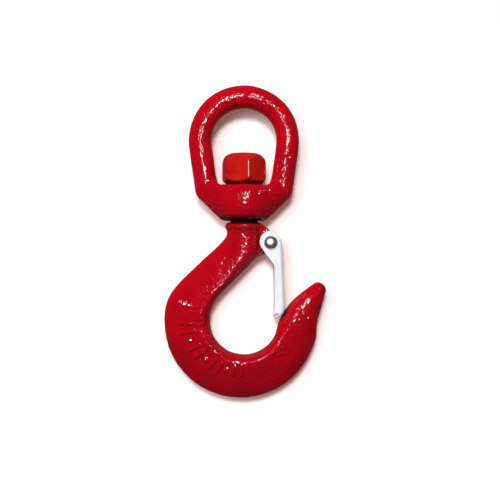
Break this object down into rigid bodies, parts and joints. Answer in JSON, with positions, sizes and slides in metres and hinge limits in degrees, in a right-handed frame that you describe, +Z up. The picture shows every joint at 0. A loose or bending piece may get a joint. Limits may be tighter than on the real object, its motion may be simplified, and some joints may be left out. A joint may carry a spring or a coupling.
{
  "type": "swivel hook",
  "caption": "Forged swivel hook: a round eye turns on a shanked hook held by a nut, and a sprung sheet-steel latch closes the throat.",
  "frame": {"origin": "the eye's inner crown, on the swivel axis, where a shackle or ring bears", "axes": "+Z up along the swivel axis, out of the eye; +X across the hook towards its tip; Y through the hook's thickness"},
  "size_m": [0.0741, 0.0248, 0.1429],
  "materials": {
    "red_paint": "glossy enamel over a rough forging",
    "nut_paint": "glossy enamel over a machined nut",
    "zinc_plate": "bright zinc plate",
    "rivet_steel": "polished",
    "spring_wire": "drawn wire",
    "pin_steel": "oiled spring steel"
  },
  "bodies": {
    "bail": {"swivel_bail": "red_paint"},
    "hook": {"hook_body": "red_paint", "shank_nut": "nut_paint", "nut_lock_pin": "pin_steel", "latch_rivet": "rivet_steel", "latch_spring": "spring_wire"},
    "latch": {"latch": "zinc_plate"}
  },
  "joints": [
    {"name": "hook_swivel", "type": "hinge", "parent": "bail", "child": "hook", "pos_m": [0, 0, -0.042], "axis": [0, 0, 1], "continuous": true},
    {"name": "latch_hinge", "type": "hinge", "parent": "hook", "child": "latch", "pos_m": [0.01215, 0, -0.0616], "axis": [0, 1, 0], "range_deg": [0, 45], "stiffness_Nm_per_rad": 0.05, "springref_deg": -34.38, "deforming": ["latch_spring"]}
  ]
}
